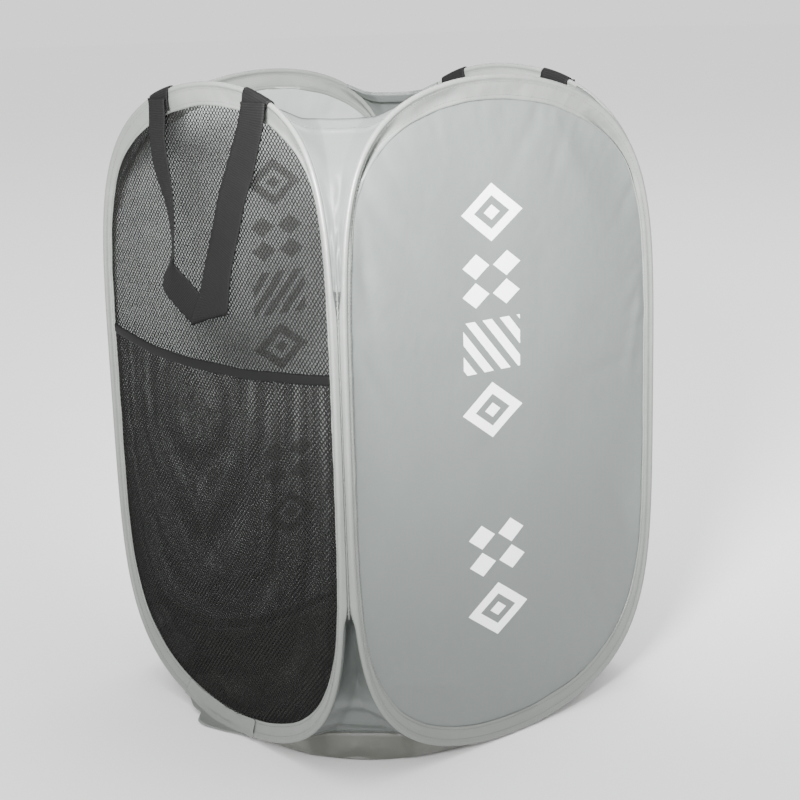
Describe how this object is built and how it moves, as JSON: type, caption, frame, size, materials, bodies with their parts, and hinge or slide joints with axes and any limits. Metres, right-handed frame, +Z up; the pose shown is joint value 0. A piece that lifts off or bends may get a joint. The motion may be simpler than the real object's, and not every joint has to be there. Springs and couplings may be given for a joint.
{
  "type": "pop up laundry hamper",
  "caption": "Folding square laundry hamper with spring wire hoops in cloth bindings, one netted wall with a net pocket, cloth walls and gussets, and webbing handles.",
  "frame": {"origin": "on the floor, midway between the four corner fold lines, under the middle of the base pouch", "axes": "+Z up through the open top, the netted wall with the pocket faces -Y, +X to the right of a person facing that wall"},
  "size_m": [0.3836, 0.4039, 0.6],
  "materials": {
    "grey_nylon": "satin",
    "black_net": "open mesh",
    "black_webbing": "ribbed",
    "spring_steel": "drawn",
    "crimp_steel": "dull"
  },
  "bodies": {
    "front_wall": {"front_hoop_wire": "spring_steel", "front_hoop_ferrule": "crimp_steel", "front_hoop_binding": "grey_nylon", "front_net_panel": "black_net", "front_pocket_net": "black_net", "front_pocket_tape": "black_webbing", "front_handle_right_tab": "black_webbing", "front_handle_left_tab": "black_webbing", "front_right_corner_seam": "grey_nylon", "front_right_upper_gusset": "grey_nylon", "front_right_lower_gusset": "grey_nylon", "left_front_corner_seam": "grey_nylon", "left_front_upper_gusset": "grey_nylon", "left_front_lower_gusset": "grey_nylon", "base_pouch": "grey_nylon"},
    "right_wall": {"right_hoop_wire": "spring_steel", "right_hoop_ferrule": "crimp_steel", "right_hoop_binding": "grey_nylon", "right_cloth_panel": "grey_nylon", "right_back_corner_seam": "grey_nylon", "right_back_upper_gusset": "grey_nylon", "right_back_lower_gusset": "grey_nylon"},
    "back_wall": {"back_hoop_wire": "spring_steel", "back_hoop_ferrule": "crimp_steel", "back_hoop_binding": "grey_nylon", "back_cloth_panel": "grey_nylon", "back_handle_right_tab": "black_webbing", "back_handle_left_tab": "black_webbing"},
    "left_wall": {"left_hoop_wire": "spring_steel", "left_hoop_ferrule": "crimp_steel", "left_hoop_binding": "grey_nylon", "left_cloth_panel": "grey_nylon", "back_left_corner_seam": "grey_nylon", "back_left_upper_gusset": "grey_nylon", "back_left_lower_gusset": "grey_nylon"},
    "front_loop": {"front_handle": "black_webbing"},
    "back_loop": {"back_handle": "black_webbing"}
  },
  "joints": [
    {"name": "front_right_fold", "type": "hinge", "parent": "front_wall", "child": "right_wall", "pos_m": [0.185, -0.185, 0], "axis": [0, 0, 1], "range_deg": [-80, 80], "deforming": ["front_right_upper_gusset", "front_right_lower_gusset", "base_pouch"]},
    {"name": "left_front_fold", "type": "hinge", "parent": "front_wall", "child": "left_wall", "pos_m": [-0.185, -0.185, 0], "axis": [0, 0, 1], "range_deg": [-80, 80], "deforming": ["left_front_upper_gusset", "left_front_lower_gusset", "back_left_upper_gusset", "back_left_lower_gusset"]},
    {"name": "right_back_fold", "type": "hinge", "parent": "right_wall", "child": "back_wall", "pos_m": [0.185, 0.185, 0], "axis": [0, 0, 1], "range_deg": [-80, 80], "deforming": ["right_back_upper_gusset", "right_back_lower_gusset"]},
    {"name": "front_handle_swing", "type": "hinge", "parent": "front_wall", "child": "front_loop", "pos_m": [0.0174, -0.19396, 0.58303], "axis": [-1, 0, 0], "range_deg": [0, 175]},
    {"name": "back_handle_swing", "type": "hinge", "parent": "back_wall", "child": "back_loop", "pos_m": [-0.0174, 0.19396, 0.58303], "axis": [1, 0, 0], "range_deg": [0, 175]}
  ],
  "couplings": [
    {"joint": "left_front_fold", "follows": "front_right_fold", "ratio": 1},
    {"joint": "right_back_fold", "follows": "front_right_fold", "ratio": -1}
  ]
}
